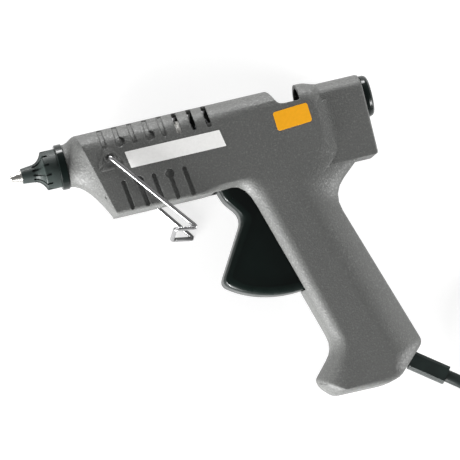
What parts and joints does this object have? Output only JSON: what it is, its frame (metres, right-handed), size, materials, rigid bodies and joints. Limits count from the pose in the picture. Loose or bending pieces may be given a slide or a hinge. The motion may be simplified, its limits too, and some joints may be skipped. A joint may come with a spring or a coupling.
{
  "type": "hot-glue gun",
  "caption": "Corded hot-glue gun for 12 mm sticks with a long pull trigger, fold-out wire stand and a guarded nozzle, lying on its side.",
  "frame": {"origin": "middle of the gun's bounding box at its lowest point, the free cord left out; the gun lies on its right side", "axes": "+X along the barrel from the nozzle to the tail, +Y the gun's own up, +Z out of its left side and away from the table"},
  "size_m": [0.3351, 0.2232, 0.0426],
  "materials": {
    "shell": "spark-eroded matte",
    "screw_steel": "plated",
    "nozzle_metal": "nickel plated",
    "soft_black": "matte",
    "gloss_black": "gloss",
    "chamber_metal": "cast",
    "ceramic": "matte",
    "spring_steel": "plain",
    "fuse_metal": "satin",
    "silicone": "matte",
    "dark_plastic": "matte",
    "wire_steel": "bright",
    "lead_skin": "satin",
    "cord_skin": "satin",
    "pin_metal": "bright"
  },
  "bodies": {
    "gun": {"housing_left": "shell", "housing_right": "shell", "housing_screws": "screw_steel", "nozzle_tip": "nozzle_metal", "nozzle_sleeve": "soft_black", "nozzle_ring": "gloss_black", "melt_chamber": "chamber_metal", "heater_pack": "ceramic", "heater_clip": "spring_steel", "thermal_fuse": "fuse_metal", "inlet_sleeve": "silicone", "inlet_clamp": "spring_steel", "trigger_pin": "screw_steel", "rear_guide": "gloss_black", "cord_guard": "soft_black", "cord_clamp": "ceramic", "clamp_screws": "screw_steel", "terminal_block": "ceramic", "leads": "lead_skin", "cord": "cord_skin", "cord_coil": "cord_skin", "cord_tail": "cord_skin", "cord_tie": "soft_black", "plug_body": "cord_skin", "plug_pins": "pin_metal"},
    "trigger": {"trigger": "gloss_black"},
    "carriage": {"feed_carriage": "dark_plastic", "jaw_pin": "screw_steel", "return_spring": "spring_steel"},
    "jaw": {"grip_jaw": "spring_steel"},
    "stand": {"stand": "wire_steel"}
  },
  "joints": [
    {"name": "trigger_pull", "type": "hinge", "parent": "gun", "child": "trigger", "pos_m": [0.03054, 0.03925, 0.0213], "axis": [0, 0, 1], "range_deg": [0, 22], "stiffness_Nm_per_rad": 0.35, "springref_deg": -14.32},
    {"name": "feed_slide", "type": "slide", "parent": "gun", "child": "carriage", "axis": [-1, 0, 0], "range_m": [0, 0.01417], "deforming": ["return_spring"]},
    {"name": "jaw_bite", "type": "hinge", "parent": "carriage", "child": "jaw", "pos_m": [0.03107, 0.06305, 0.0213], "axis": [0, 0, 1], "range_deg": [0, 8]},
    {"name": "stand_fold", "type": "hinge", "parent": "gun", "child": "stand", "pos_m": [-0.05186, 0.0733, 0.0213], "axis": [0, 0, 1], "range_deg": [-86, 15]}
  ],
  "couplings": [
    {"joint": "feed_slide", "follows": "trigger_pull", "m_per_rad": 0.036651},
    {"joint": "jaw_bite", "follows": "trigger_pull", "ratio": 0.36}
  ]
}
